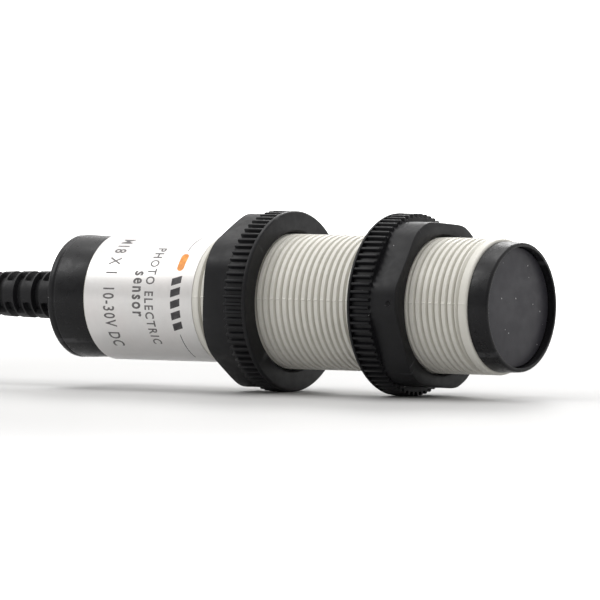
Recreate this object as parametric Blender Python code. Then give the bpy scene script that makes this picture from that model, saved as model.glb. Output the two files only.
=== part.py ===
"""Cylindrical M18 photoelectric sensor, pre-wired, lying on the flanges of its two nuts.

Frame: metres, +Z up, sensor axis along X with the optical face towards +X.
Along the axis, lengths are written as the distance behind the optical face, in millimetres.
Round the axis, an angle is counted from straight up, by the right-hand rule about +X.
"""

import math

import bmesh
import bpy
from mathutils import Vector

MM = 0.001

# overall
BODY_LENGTH = 69.8
RELIEF_END = 90.0
FRONT_X = 0.5 * RELIEF_END
AXIS_HEIGHT = 12.0
SIDES = 36
SMALL_SIDES = 24
TINY_SIDES = 16

# thread M18 x 1
PITCH = 1.0
CREST_RADIUS = 8.95
ROOT_RADIUS = 8.37
THREAD_SIDES = 24
THREAD_REAR = 46.3
THREAD_TURNS = 42

# barrel
COLLAR_FRONT = 2.7
COLLAR_REAR = 4.2
COLLAR_RADIUS = 9.0
COLLAR_CHAMFER = 0.2
BORE_RADIUS = 7.05
LABEL_SEAT_RADIUS = 8.15
LABEL_FRONT = 46.7
LABEL_REAR = 63.7
BARREL_REAR = 63.9

# front bezel and window
BEZEL_RADIUS = 8.55
RIM_RADIUS = 7.95
SEAT_DEPTH = 2.05
WINDOW_FRONT = 1.0
WINDOW_REAR = 2.0
WINDOW_RADIUS = 7.85
SPIGOT_RADIUS = 6.9
SPIGOT_BORE = 6.2
GROOVE_RADIUS = 6.4

# nuts
FLANGE_RADIUS = 12.0
TOOTH_ROOT = 11.55
TEETH = 72
NUT_BORE = 9.15
WASHER_THICKNESS = 0.45
WASHER_GAP = 0.05
FLANGE_THICKNESS = 2.9
NUT_HEIGHT = 6.95
HEX_APOTHEM = 10.7
HEX_TRIM_RADIUS = 11.45
HEX_FACE_RADIUS = 10.6
HEX_CHAMFER = math.radians(10)
FRONT_CLAMP_FACE = 19.7
REAR_CLAMP_FACE = 35.8
FRONT_HEX_PHASE = math.radians(55)
REAR_HEX_PHASE = math.radians(26)

# rear cap, its fittings and the strain relief
CAP_NECK_RADIUS = 7.9
CAP_RADIUS = 8.2
CAP_STEP = 67.0
CAP_WALL = 68.3
CAP_CAVITY = 7.0
FITTING_OFFSET = 5.4
FITTING_HOLE = 1.35
RELIEF_HOLE = 3.4
RELIEF_ROOT = 3.3
RELIEF_MIDDLE = 2.8
RELIEF_TIP = 2.62
RELIEF_BORE = 2.15
RELIEF_LIP = 3.8
SLOT_WIDTH = 1.25
SLOT_PITCH = 3.0
SLOT_HALF_ANGLE = 62
SLOT_FLOOR = 2.4
SLOT_PAIRS = 12
FIRST_SLOT = 71.9
SLOT_TILT = -10

# optics and electronics
LENS_OFFSET = 3.05
BOARD_HALF_WIDTH = 5.9
BOARD_HALF_THICKNESS = 0.5

# cable
CABLE_RADIUS = 2.0
CORE_RADIUS = 0.5
LEAD_RADIUS = 0.6
HANK_NEAR = 149.0
HANK_STRAIGHT = 62.0
HANK_OUTSIDE = 18.0
HANK_INSIDE = 10.4
HANK_HEIGHT = 20.0
TIE_WIDTH = 4.0
TIE_THICKNESS = 0.8
GAP = 0.3

# where the cable's centreline runs: behind the front, sideways, above the floor
CABLE_ROUTE = (
    (66.5, 0.0, 12.0),
    (75.0, 0.0, 12.0),
    (84.0, 0.0, 12.0),
    (91.0, 0.0, 12.0),
    (97.0, 0.3, 11.5),
    (104.0, 1.7, 9.6),
    (111.0, 4.3, 6.9),
    (118.0, 7.6, 4.5),
    (125.0, 10.8, 2.8),
    (132.0, 13.2, 2.1),
    (139.0, 14.9, 2.0),
    (149.0, 16.0, 2.0),
)
CABLE_TUBE_END = 126.0

# the stripped ends, inside the hank: behind the front, sideways at the start and at the end
LEAD_START = 163.0
LEAD_END = 143.0
LEADS_ACROSS = ((-7.6, -6.0), (-6.1, -2.6), (-4.6, 0.8))


def clear_scene():
    """Start from an empty scene."""
    for thing in list(bpy.data.objects):
        bpy.data.objects.remove(thing, do_unlink=True)


def principled(name, colour, roughness, metallic=0.0, alpha=1.0, transmission=0.0):
    """A plain Principled material."""
    made = bpy.data.materials.new(name)
    made.use_nodes = True
    shader = made.node_tree.nodes["Principled BSDF"]
    shader.inputs["Base Color"].default_value = (*colour, 1.0)
    shader.inputs["Roughness"].default_value = roughness
    shader.inputs["Metallic"].default_value = metallic
    shader.inputs["Alpha"].default_value = alpha
    shader.inputs["Transmission Weight"].default_value = transmission
    return made


def add_object(name, mesh_builder, material, at=(0.0, 0.0, 0.0)):
    """Turn a bmesh, in millimetres about the given origin, into a named object in metres."""
    for vertex in mesh_builder.verts:
        vertex.co = (vertex.co - Vector(at)) * MM
    bmesh.ops.recalc_face_normals(mesh_builder, faces=mesh_builder.faces)
    mesh = bpy.data.meshes.new(name)
    mesh_builder.to_mesh(mesh)
    mesh_builder.free()
    mesh.shade_smooth()
    mesh.set_sharp_from_angle(angle=math.radians(35))
    mesh.materials.append(material)
    made = bpy.data.objects.new(name, mesh)
    made.location = Vector(at) * MM
    bpy.context.scene.collection.objects.link(made)
    return made


def axial(behind, y=0.0, z=0.0):
    """The point this far behind the front face and this far off the axis, in millimetres."""
    return Vector((FRONT_X - behind, y, AXIS_HEIGHT + z))


def around(behind, radius, angle, y=0.0, z=0.0):
    """A point on a circle round an axis along X."""
    return axial(behind, y - radius * math.sin(angle), z + radius * math.cos(angle))


def turned(name, outline, material, sides=SIDES, y=0.0, z=0.0, closed=True):
    """A solid of revolution about an axis along X; outline holds (behind front, radius)."""
    builder = bmesh.new()
    points = [builder.verts.new(axial(behind, y, z + radius)) for behind, radius in outline]
    edges = [builder.edges.new(pair) for pair in zip(points, points[1:])]
    if closed:
        edges.append(builder.edges.new((points[-1], points[0])))
    bmesh.ops.spin(
        builder,
        geom=points + edges,
        cent=axial(0.0, y, z),
        axis=(1.0, 0.0, 0.0),
        angle=2.0 * math.pi,
        steps=sides,
        use_merge=True,
    )
    bmesh.ops.remove_doubles(builder, verts=builder.verts, dist=0.0005)
    middle = 0.5 * (outline[0][0] + outline[-1][0])
    return add_object(name, builder, material, axial(middle, y, z))


def block(name, behind, y, z, material, bevel=0.0):
    """A box between pairs of limits; behind is counted from the front, z from the axis."""
    builder = bmesh.new()
    bmesh.ops.create_cube(builder, size=1.0)
    low, high = axial(behind[1], y[0], z[0]), axial(behind[0], y[1], z[1])
    for vertex in builder.verts:
        part = vertex.co + Vector((0.5, 0.5, 0.5))
        vertex.co = Vector([a + (b - a) * f for a, b, f in zip(low, high, part)])
    if bevel:
        bmesh.ops.bevel(
            builder, geom=builder.edges[:], offset=bevel, segments=1, affect="EDGES"
        )
    return add_object(name, builder, material, (low + high) / 2)


def prism(builder, polygon, behind_front, behind_rear):
    """Add a prism along X with the given (y, z) polygon."""
    front = [builder.verts.new(axial(behind_front, y, z)) for y, z in polygon]
    rear = [builder.verts.new(axial(behind_rear, y, z)) for y, z in polygon]
    builder.faces.new(front)
    builder.faces.new(rear[::-1])
    for near, far in zip(range(len(polygon)), [*range(1, len(polygon)), 0]):
        builder.faces.new((front[near], rear[near], rear[far], front[far]))


def as_cutter(thing):
    """Hide an object that only shapes another."""
    thing.hide_render = True
    thing.display_type = "WIRE"
    return thing


def cut(target, cutter):
    """Subtract a cutter from an object."""
    step = target.modifiers.new("cut_" + cutter.name, "BOOLEAN")
    step.operation = "DIFFERENCE"
    step.object = as_cutter(cutter)


def smooth_route(route, spacing):
    """Points along a Catmull-Rom curve through the route, about this far apart."""
    knots = [Vector(point) for point in route]
    knots = [2 * knots[0] - knots[1], *knots, 2 * knots[-1] - knots[-2]]
    fine = []
    for before, start, end, after in zip(knots, knots[1:], knots[2:], knots[3:]):
        for step in range(20):
            t = step / 20
            fine.append(
                0.5
                * (
                    2 * start
                    + (end - before) * t
                    + (2 * before - 5 * start + 4 * end - after) * t * t
                    + (3 * start - before - 3 * end + after) * t**3
                )
            )
    fine.append(knots[-2])
    reached = [0.0]
    for here, there in zip(fine, fine[1:]):
        reached.append(reached[-1] + (there - here).length)
    count = max(2, round(reached[-1] / spacing))
    chosen, place = [], 0
    for number in range(count + 1):
        wanted = reached[-1] * number / count
        while place < len(fine) - 2 and reached[place + 1] < wanted:
            place += 1
        span = max(reached[place + 1] - reached[place], 1e-9)
        share = (wanted - reached[place]) / span
        chosen.append(fine[place].lerp(fine[place + 1], min(max(share, 0.0), 1.0)))
    return chosen


def tube(name, points, radius, material, resolution=2):
    """A round tube along the points, in millimetres, as a curve with filled ends."""
    data = bpy.data.curves.new(name, "CURVE")
    data.dimensions = "3D"
    data.bevel_depth = radius * MM
    data.bevel_resolution = resolution
    data.render_resolution_u = 0
    data.use_fill_caps = True
    spline = data.splines.new("POLY")
    spline.points.add(len(points) - 1)
    start = Vector(points[0])
    for slot, point in zip(spline.points, points):
        slot.co = (*((Vector(point) - start) * MM), 1.0)
    spline.use_smooth = True
    data.materials.append(material)
    made = bpy.data.objects.new(name, data)
    made.location = start * MM
    bpy.context.scene.collection.objects.link(made)
    return made


def make_barrel(material):
    """Threaded housing: collar, right-hand thread, plain label seat and through bore."""
    builder = bmesh.new()
    sides = THREAD_SIDES
    last = 2 * THREAD_TURNS - 2

    def ring(behind, radius):
        angles = [2.0 * math.pi * side / sides for side in range(sides)]
        return [builder.verts.new(around(behind, radius, angle)) for angle in angles]

    def join(first, second):
        for side in range(sides):
            after = (side + 1) % sides
            builder.faces.new((first[side], first[after], second[after], second[side]))

    rows = {}
    for row in range(last + 3):
        for side in range(sides if row <= last else 1):
            behind = THREAD_REAR - PITCH * (row / 2 + side / sides)
            radius = CREST_RADIUS if row % 2 else ROOT_RADIUS
            angle = 2.0 * math.pi * side / sides
            rows[row, side] = builder.verts.new(around(behind, radius, angle))

    def thread(row, side):
        return rows[(row, side) if side < sides else (row + 2, 0)]

    for row in range(last):
        for side in range(sides):
            corners = ((row, side), (row, side + 1), (row + 1, side + 1), (row + 1, side))
            builder.faces.new([thread(*corner) for corner in corners])

    # the rearmost thread row meets the run-out ring, and the foremost meets the collar's shoulder
    runout = ring(LABEL_FRONT - 0.1, ROOT_RADIUS)
    shoulder = ring(COLLAR_REAR, ROOT_RADIUS)
    for side in range(sides):
        after = (side + 1) % sides
        builder.faces.new((thread(0, side), runout[side], runout[after], thread(0, side + 1)))
        builder.faces.new(
            (thread(last, side), thread(last, side + 1), shoulder[after], shoulder[side])
        )
    builder.faces.new((runout[0], thread(0, 0), thread(1, 0), thread(2, 0)))
    builder.faces.new((shoulder[0], rows[last + 2, 0], rows[last + 1, 0], rows[last, 0]))

    loops = [
        shoulder,
        ring(COLLAR_REAR, COLLAR_RADIUS),
        ring(COLLAR_FRONT + COLLAR_CHAMFER, COLLAR_RADIUS),
        ring(COLLAR_FRONT, COLLAR_RADIUS - COLLAR_CHAMFER),
        ring(COLLAR_FRONT, BORE_RADIUS),
        ring(BARREL_REAR, BORE_RADIUS),
        ring(BARREL_REAR, LABEL_SEAT_RADIUS),
        ring(LABEL_FRONT - 0.1, LABEL_SEAT_RADIUS),
        runout,
    ]
    for first, second in zip(loops, loops[1:]):
        join(first, second)
    return add_object("barrel", builder, material, axial(0.5 * BARREL_REAR))


def make_bezel(material):
    """Black ring pushed into the barrel's mouth, with a seat for the window."""
    outline = (
        (0.0, RIM_RADIUS),
        (0.0, BEZEL_RADIUS - 0.15),
        (0.15, BEZEL_RADIUS),
        (COLLAR_FRONT - 0.05, BEZEL_RADIUS),
        (COLLAR_FRONT - 0.05, SPIGOT_RADIUS),
        (3.8, SPIGOT_RADIUS),
        (3.8, GROOVE_RADIUS),
        (4.8, GROOVE_RADIUS),
        (4.8, SPIGOT_RADIUS),
        (6.0, SPIGOT_RADIUS),
        (6.0, SPIGOT_BORE),
        (SEAT_DEPTH, SPIGOT_BORE),
        (SEAT_DEPTH, RIM_RADIUS),
    )
    return turned("front_bezel", outline, material)


def make_window(material):
    """Flat infrared filter disc with a softly broken front edge."""
    outline = (
        (WINDOW_FRONT, 0.0),
        (WINDOW_FRONT, WINDOW_RADIUS - 0.1),
        (WINDOW_FRONT + 0.1, WINDOW_RADIUS),
        (WINDOW_REAR, WINDOW_RADIUS),
        (WINDOW_REAR, 0.0),
    )
    return turned("filter_window", outline, material, closed=False)


def make_seal(name, middle, material):
    """O-ring in a groove of a spigot."""
    section = [math.radians(45 * corner + 22.5) for corner in range(8)]
    outline = [(middle + 0.22 * math.cos(a), 6.72 + 0.2 * math.sin(a)) for a in section]
    return turned(name, outline, material, sides=SMALL_SIDES)


def hex_angles(phase):
    """The outline of a hexagon with trimmed corners, as (angle, radius)."""
    trim = math.acos(HEX_APOTHEM / HEX_TRIM_RADIUS)
    steps = (-trim, -0.5 * trim, 0.0, 0.5 * trim, trim, math.radians(30))
    outline = []
    for facet in range(6):
        for step in steps:
            radius = min(HEX_APOTHEM / math.cos(step), HEX_TRIM_RADIUS)
            outline.append((phase + facet * math.pi / 3 + step, radius))
    return outline


def make_nut(name, clamp_face, direction, phase, material):
    """Hexagon nut with a toothed flange; direction is +1 where the hexagon faces the front."""
    builder = bmesh.new()
    flange_near = WASHER_THICKNESS + WASHER_GAP
    flange_far = flange_near + FLANGE_THICKNESS
    height = flange_near + NUT_HEIGHT

    def loop(outline, level):
        made = []
        for angle, radius in outline:
            depth = level(radius) if callable(level) else level
            made.append(builder.verts.new(around(clamp_face - direction * depth, radius, angle)))
        return made

    def edges_of(points):
        pairs = zip(points, points[1:] + points[:1])
        return [builder.edges.get(pair) or builder.edges.new(pair) for pair in pairs]

    def bridge(first, second):
        for here in range(len(first)):
            after = (here + 1) % len(first)
            builder.faces.new((first[here], first[after], second[after], second[here]))

    def chamfered(radius):
        return height - (radius - HEX_FACE_RADIUS) * math.tan(HEX_CHAMFER)

    hexagon = hex_angles(phase)
    teeth = []
    for tooth in range(TEETH):
        middle = 2.0 * math.pi * tooth / TEETH
        for offset, radius in ((-1.3, FLANGE_RADIUS), (1.3, FLANGE_RADIUS)):
            teeth.append((middle + math.radians(offset), radius))
        for offset, radius in ((1.95, TOOTH_ROOT), (3.05, TOOTH_ROOT)):
            teeth.append((middle + math.radians(offset), radius))
    bore = [(angle, NUT_BORE) for angle, _ in hexagon]
    face = [(angle, HEX_FACE_RADIUS) for angle, _ in hexagon]

    bore_near, bore_far = loop(bore, flange_near), loop(bore, height)
    teeth_near, teeth_far = loop(teeth, flange_near), loop(teeth, flange_far)
    hex_near, hex_far = loop(hexagon, flange_far), loop(hexagon, chamfered)
    face_far = loop(face, height)
    bridge(bore_near, bore_far)
    bridge(teeth_near, teeth_far)
    bridge(hex_near, hex_far)
    bridge(hex_far, face_far)
    bridge(face_far, bore_far)
    for outer, inner in ((teeth_near, bore_near), (teeth_far, hex_near)):
        bmesh.ops.triangle_fill(
            builder, edges=edges_of(outer) + edges_of(inner), use_beauty=True
        )
    return add_object(name, builder, material, axial(clamp_face - direction * 0.5 * height))


def make_washer(name, clamp_face, direction, material):
    """Thin smooth face on a nut's clamping side."""
    inner_face = clamp_face - direction * WASHER_THICKNESS
    outline = (
        (clamp_face, NUT_BORE),
        (clamp_face, FLANGE_RADIUS),
        (inner_face, FLANGE_RADIUS),
        (inner_face, NUT_BORE),
    )
    return turned(name, outline, material)


def make_label(material):
    """Foil label round the plain rear part of the barrel."""
    outline = ((LABEL_FRONT, 8.21), (LABEL_FRONT, 8.35), (LABEL_REAR, 8.35), (LABEL_REAR, 8.21))
    return turned("type_label", outline, material)


def make_cap(material):
    """Rear cap: spigot in the barrel, neck, thicker rim and a wall with three holes."""
    outline = (
        (60.0, SPIGOT_BORE),
        (60.0, SPIGOT_RADIUS),
        (61.5, SPIGOT_RADIUS),
        (61.5, GROOVE_RADIUS),
        (62.5, GROOVE_RADIUS),
        (62.5, SPIGOT_RADIUS),
        (BARREL_REAR + 0.05, SPIGOT_RADIUS),
        (BARREL_REAR + 0.05, CAP_NECK_RADIUS),
        (CAP_STEP, CAP_NECK_RADIUS),
        (CAP_STEP + 0.25, CAP_RADIUS),
        (BODY_LENGTH - 0.6, CAP_RADIUS),
        (BODY_LENGTH - 0.15, CAP_RADIUS - 0.25),
        (BODY_LENGTH, CAP_RADIUS - 0.7),
        (BODY_LENGTH, RELIEF_HOLE),
        (CAP_WALL, RELIEF_HOLE),
        (CAP_WALL, CAP_CAVITY),
        (64.2, CAP_CAVITY),
        (64.2, SPIGOT_BORE),
    )
    cap = turned("rear_cap", outline, material)
    for name, y in (("pipe_hole", FITTING_OFFSET), ("screw_hole", -FITTING_OFFSET)):
        ends = ((67.5, 0.0), (67.5, FITTING_HOLE), (71.0, FITTING_HOLE), (71.0, 0.0))
        cut(cap, turned(name, ends, material, sides=TINY_SIDES, y=y, closed=False))
    return cap


def relief_radius(behind):
    """Outer radius of the strain relief's tapered tail."""
    if behind < 81.0:
        share = (behind - BODY_LENGTH) / (81.0 - BODY_LENGTH)
        return RELIEF_ROOT + (RELIEF_MIDDLE - RELIEF_ROOT) * share
    share = (behind - 81.0) / (RELIEF_END - 81.0)
    return RELIEF_MIDDLE + (RELIEF_TIP - RELIEF_MIDDLE) * share


def make_relief(material):
    """Tapered strain relief with staggered pairs of slots."""
    outline = (
        (66.8, RELIEF_BORE),
        (66.8, RELIEF_LIP),
        (CAP_WALL - GAP, RELIEF_LIP),
        (CAP_WALL - GAP, RELIEF_ROOT - 0.05),
        (BODY_LENGTH, RELIEF_ROOT - 0.05),
        (BODY_LENGTH + 0.1, RELIEF_ROOT),
        (81.0, RELIEF_MIDDLE),
        (RELIEF_END - 0.3, RELIEF_TIP),
        (RELIEF_END, RELIEF_TIP - 0.2),
        (RELIEF_END, RELIEF_BORE),
    )
    relief = turned("strain_relief", outline, material, sides=SMALL_SIDES)
    builder = bmesh.new()
    half = SLOT_HALF_ANGLE
    for pair in range(SLOT_PAIRS):
        near = FIRST_SLOT + 0.5 * SLOT_PITCH * pair
        for side in (0, 180):
            # straight up is 0, so the pairs face sideways and up in turn
            facing = side + (90 if pair % 2 == 0 else 0) + SLOT_TILT
            polygon = []
            for turn in (-half, -half / 3, half / 3, half):
                angle = math.radians(facing + turn)
                polygon.append((-6.0 * math.sin(angle), 6.0 * math.cos(angle)))
            for turn in (half, half / 3, -half / 3, -half):
                angle = math.radians(facing + turn)
                polygon.append((-SLOT_FLOOR * math.sin(angle), SLOT_FLOOR * math.cos(angle)))
            prism(builder, polygon, near, near + SLOT_WIDTH)
    cut(relief, add_object("relief_slots", builder, material))
    return relief


def make_optics(black, glass, infrared, detector, board):
    """Holder with two light bores, their lenses, the emitter, the detector and their board."""
    outline = ((2.3, 0.0), (2.3, 6.1), (13.5, 6.1), (13.5, 0.0))
    holder = turned("optics_holder", outline, black, closed=False)
    for name, y in (("emitter", -LENS_OFFSET), ("receiver", LENS_OFFSET)):
        bore = (
            (1.8, 0.0),
            (1.8, 2.75),
            (4.7, 2.75),
            (4.7, 2.1),
            (14.0, 2.1),
            (14.0, 0.0),
        )
        cut(holder, turned(name + "_bore", bore, black, SMALL_SIDES, y=y, closed=False))
        dome = [(2.5 + 0.9 * (r / 2.6) ** 2, r) for r in (0.0, 0.65, 1.3, 1.95, 2.6)]
        lens = [*dome, (4.4, 2.6), (4.4, 0.0)]
        turned(name + "_lens", lens, glass, SMALL_SIDES, y=y, closed=False)
    bulb = ((10.0, 0.0), (10.2, 0.8), (10.9, 1.3), (11.6, 1.5), (13.4, 1.5), (13.4, 0.0))
    turned("infrared_emitter", bulb, infrared, TINY_SIDES, y=-LENS_OFFSET, closed=False)
    cell = ((11.2, 0.0), (11.3, 0.9), (11.7, 1.5), (13.4, 1.5), (13.4, 0.0))
    turned("photodiode", cell, detector, TINY_SIDES, y=LENS_OFFSET, closed=False)
    disc = ((13.9, 0.0), (13.9, 6.4), (14.9, 6.4), (14.9, 0.0))
    turned("optics_board", disc, board, SMALL_SIDES, closed=False)


def make_electronics(board, black, metal, led, blue):
    """Main board with its parts, the indicator and the sensitivity trimmer."""
    half, thick = BOARD_HALF_WIDTH, BOARD_HALF_THICKNESS
    block("main_board", (15.2, 63.7), (-half, half), (-thick, thick), board)
    block("board_connector", (15.3, 17.6), (-3.0, 3.0), (0.7, 3.0), black)
    block("amplifier_chip", (22.0, 27.0), (-2.0, 2.0), (0.7, 2.3), black, 0.15)
    block("voltage_regulator", (33.0, 37.5), (-3.6, -1.0), (0.7, 2.2), black, 0.15)
    block("output_transistor", (44.0, 50.5), (-1.8, 1.8), (0.7, 2.3), black, 0.15)
    block("protection_diode", (53.0, 57.3), (-4.6, -2.0), (0.7, 2.9), black, 0.15)
    can = bmesh.new()
    bmesh.ops.create_cone(
        can, cap_ends=True, segments=TINY_SIDES, radius1=2.0, radius2=2.0, depth=4.6
    )
    place = axial(30.0, 0.0, -3.0)
    bmesh.ops.translate(can, verts=can.verts, vec=place)
    add_object("smoothing_capacitor", can, metal, place)
    bulb = ((64.5, 0.0), (64.5, 1.4), (65.4, 1.4), (66.1, 1.0), (66.4, 0.0))
    turned("indicator_led", bulb, led, TINY_SIDES, y=FITTING_OFFSET, closed=False)
    side = (-FITTING_OFFSET - 1.3, -FITTING_OFFSET + 1.3)
    block("trimmer_body", (64.5, 66.4), side, (-1.3, 1.3), blue, 0.15)


def make_fittings(clear, brass):
    """Light pipe and slotted trimmer screw in the rear wall."""
    pipe = ((66.7, 0.0), (66.7, 1.15), (69.9, 1.15), (70.05, 0.8), (70.1, 0.0))
    turned("indicator_lens", pipe, clear, TINY_SIDES, y=FITTING_OFFSET, closed=False)
    screw = ((66.7, 0.0), (66.7, 1.15), (69.3, 1.15), (69.4, 1.05), (69.4, 0.0))
    screw = turned("trimmer_screw", screw, brass, TINY_SIDES, y=-FITTING_OFFSET, closed=False)
    reach = (-FITTING_OFFSET - 1.5, -FITTING_OFFSET + 1.5)
    cut(screw, block("screwdriver_slot", (68.8, 69.8), reach, (-0.22, 0.22), brass))


def make_cores(materials):
    """Three insulated cores between the cable and the rear end of the main board."""
    for place, (name, material) in zip((-1, 0, 1), materials):
        route = (
            axial(66.2, 1.15 * place, 0.3),
            axial(65.0, 1.3 * place, 0.8),
            axial(63.8, 1.6 * place, 1.25),
            axial(62.4, 1.9 * place, 1.3),
            axial(60.6, 2.1 * place, 1.3),
        )
        tube(name, smooth_route(route, 1.1), CORE_RADIUS, material, 1)


def racetrack(radius, steps=16):
    """A loop of two straight sides and two round ends, seen from above."""
    near = FRONT_X - HANK_NEAR
    loop = []
    for step in range(steps + 1):
        angle = math.pi * step / steps - 0.5 * math.pi
        loop.append((near + radius * math.cos(angle), radius * math.sin(angle)))
    far = near - HANK_STRAIGHT
    for step in range(steps + 1):
        angle = math.pi * step / steps + 0.5 * math.pi
        loop.append((far + radius * math.cos(angle), radius * math.sin(angle)))
    return loop


def closed_loops(name, loops, material, at):
    """A ring-shaped solid from loops of points, each joined to the next and the last to the first."""
    builder = bmesh.new()
    rows = [[builder.verts.new(point) for point in loop] for loop in loops]
    for first, second in zip(rows, rows[1:] + rows[:1]):
        for here in range(len(first)):
            after = (here + 1) % len(first)
            builder.faces.new((first[here], first[after], second[after], second[here]))
    return add_object(name, builder, material, at)


def band(name, less, more, half_width, material):
    """A rectangular band round the middle of the hank, between two offsets from its outside."""
    middle = FRONT_X - HANK_NEAR - 0.5 * HANK_STRAIGHT
    loops = []
    for offset, side in ((less, -1), (more, -1), (more, 1), (less, 1)):
        x, y = middle + side * half_width, HANK_OUTSIDE + offset
        low, high = -offset, HANK_HEIGHT + offset
        loops.append([Vector((x, *corner)) for corner in ((-y, low), (y, low), (y, high), (-y, high))])
    return closed_loops(name, loops, material, Vector((middle, 0.0, 0.5 * HANK_HEIGHT)))


def make_cable(jacket, tie, leads):
    """The cable's free length: a run down to the floor, a tied hank and three stripped ends."""
    route = [axial(behind, y, z - AXIS_HEIGHT) for behind, y, z in CABLE_ROUTE]
    end = axial(CABLE_TUBE_END)
    points = [p for p in smooth_route(route, 4.0) if p.x > end.x]
    tube("cable_run", points, CABLE_RADIUS, jacket)

    outside, inside, top = HANK_OUTSIDE, HANK_INSIDE, HANK_HEIGHT
    section = (
        (outside - 1.0, 0.0),
        (outside, 1.0),
        (outside, top - 1.0),
        (outside - 1.0, top),
        (inside + 1.0, top),
        (inside, top - 1.0),
        (inside, 1.0),
        (inside + 1.0, 0.0),
    )
    loops = [[Vector((x, y, z)) for x, y in racetrack(radius)] for radius, z in section]
    hank = closed_loops("cable_coil", loops, jacket, axial(HANK_NEAR + 0.5 * HANK_STRAIGHT))
    thick = TIE_THICKNESS
    band("coil_tie", -thick, 0.0, 0.5 * TIE_WIDTH, tie)
    cut(hank, band("tie_groove", -thick - GAP, 1.0, 0.5 * TIE_WIDTH + GAP, tie))

    for (start_y, end_y), (name, material) in zip(LEADS_ACROSS, leads):
        points = []
        for step in range(7):
            share = step / 6
            sway = start_y + (end_y - start_y) * share * share * (3 - 2 * share)
            behind = LEAD_START + (LEAD_END - LEAD_START) * share
            points.append(axial(behind, sway, LEAD_RADIUS + 0.05 - AXIS_HEIGHT))
        tube(name, points, LEAD_RADIUS, material, 1)


def build():
    """Make every piece."""
    clear_scene()
    ivory = principled("ivory_plastic", (0.60, 0.59, 0.54), 0.42)
    black = principled("black_plastic", (0.024, 0.024, 0.026), 0.48)
    nut_black = principled("nut_plastic", (0.028, 0.028, 0.031), 0.52)
    filter_dark = principled("filter_plastic", (0.045, 0.045, 0.052), 0.38)
    foil = principled("silver_foil", (0.66, 0.66, 0.67), 0.34, metallic=0.75)
    rubber = principled("seal_rubber", (0.015, 0.015, 0.016), 0.75)
    clear = principled("clear_plastic", (0.85, 0.86, 0.88), 0.08, transmission=0.9)
    infrared = principled("tinted_emitter", (0.10, 0.08, 0.16), 0.15)
    detector = principled("dark_detector", (0.02, 0.02, 0.022), 0.2)
    board = principled("board_green", (0.02, 0.14, 0.06), 0.35)
    package = principled("chip_package", (0.018, 0.018, 0.019), 0.55)
    metal = principled("can_aluminium", (0.72, 0.72, 0.73), 0.3, metallic=1.0)
    led = principled("led_red", (0.65, 0.05, 0.04), 0.2)
    trimmer_blue = principled("trimmer_blue", (0.04, 0.12, 0.42), 0.4)
    brass = principled("screw_brass", (0.70, 0.48, 0.20), 0.3, metallic=1.0)
    jacket = principled("cable_jacket", (0.022, 0.022, 0.024), 0.55)
    tie = principled("tie_plastic", (0.02, 0.02, 0.02), 0.4)
    brown = principled("core_brown", (0.13, 0.05, 0.025), 0.45)
    core_black = principled("core_black", (0.02, 0.02, 0.02), 0.45)
    blue = principled("core_blue", (0.02, 0.09, 0.45), 0.45)

    make_barrel(ivory)
    make_bezel(black)
    make_window(filter_dark)
    make_seal("front_seal", 4.3, rubber)
    make_nut("front_nut", FRONT_CLAMP_FACE, 1, FRONT_HEX_PHASE, nut_black)
    make_washer("front_nut_washer", FRONT_CLAMP_FACE, 1, nut_black)
    make_nut("rear_nut", REAR_CLAMP_FACE, -1, REAR_HEX_PHASE, nut_black)
    make_washer("rear_nut_washer", REAR_CLAMP_FACE, -1, nut_black)
    make_label(foil)
    make_cap(black)
    make_seal("rear_seal", 62.0, rubber)
    make_relief(black)
    make_optics(package, clear, infrared, detector, board)
    make_electronics(board, package, metal, led, trimmer_blue)
    make_fittings(clear, brass)
    make_cores((("core_brown", brown), ("core_black", core_black), ("core_blue", blue)))
    make_cable(
        jacket, tie, (("lead_brown", brown), ("lead_black", core_black), ("lead_blue", blue))
    )


build()
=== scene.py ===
"""Looks for the cylindrical photoelectric sensor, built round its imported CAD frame.

Lengths along the axis are millimetres behind the optical face. Angles round the axis start
straight up and follow the right-hand rule about +X, so 90 degrees faces the camera side.
"""

import math

import bmesh
import bpy
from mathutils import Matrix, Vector


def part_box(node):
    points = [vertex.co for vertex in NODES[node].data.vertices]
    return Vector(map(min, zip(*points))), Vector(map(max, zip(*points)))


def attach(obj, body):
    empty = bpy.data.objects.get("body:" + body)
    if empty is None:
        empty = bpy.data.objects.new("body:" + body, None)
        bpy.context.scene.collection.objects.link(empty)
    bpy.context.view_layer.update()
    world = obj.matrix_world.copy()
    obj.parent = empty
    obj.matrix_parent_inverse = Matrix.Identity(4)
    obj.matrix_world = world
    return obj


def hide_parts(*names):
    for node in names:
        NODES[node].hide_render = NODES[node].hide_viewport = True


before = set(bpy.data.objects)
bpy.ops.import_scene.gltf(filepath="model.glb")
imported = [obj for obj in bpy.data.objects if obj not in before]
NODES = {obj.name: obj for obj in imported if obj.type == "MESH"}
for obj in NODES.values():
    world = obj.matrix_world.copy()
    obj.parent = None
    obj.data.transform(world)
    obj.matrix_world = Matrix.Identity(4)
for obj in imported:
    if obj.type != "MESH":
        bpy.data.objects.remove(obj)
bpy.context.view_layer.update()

MM = 0.001
FRONT_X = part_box("front_bezel")[1].x
AXIS_Z = (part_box("front_bezel")[0].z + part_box("front_bezel")[1].z) / 2
CREASE = 38.0  # degrees between two faces that keep a sharp edge
scene = bpy.context.scene
link = scene.collection.objects.link


# ---------------------------- geometry helpers


def spot(behind, radius, angle, y=0.0):
    """World point this far behind the face, this far out from the axis and at this angle."""
    return Vector((
        FRONT_X - behind * MM,
        (y - radius * math.sin(angle)) * MM,
        AXIS_Z + radius * math.cos(angle) * MM,
    ))


def smooth(value, low, high):
    """0 below low, 1 above high and a soft step between."""
    share = min(max((value - low) / (high - low), 0.0), 1.0)
    return share * share * (3.0 - 2.0 * share)


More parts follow.
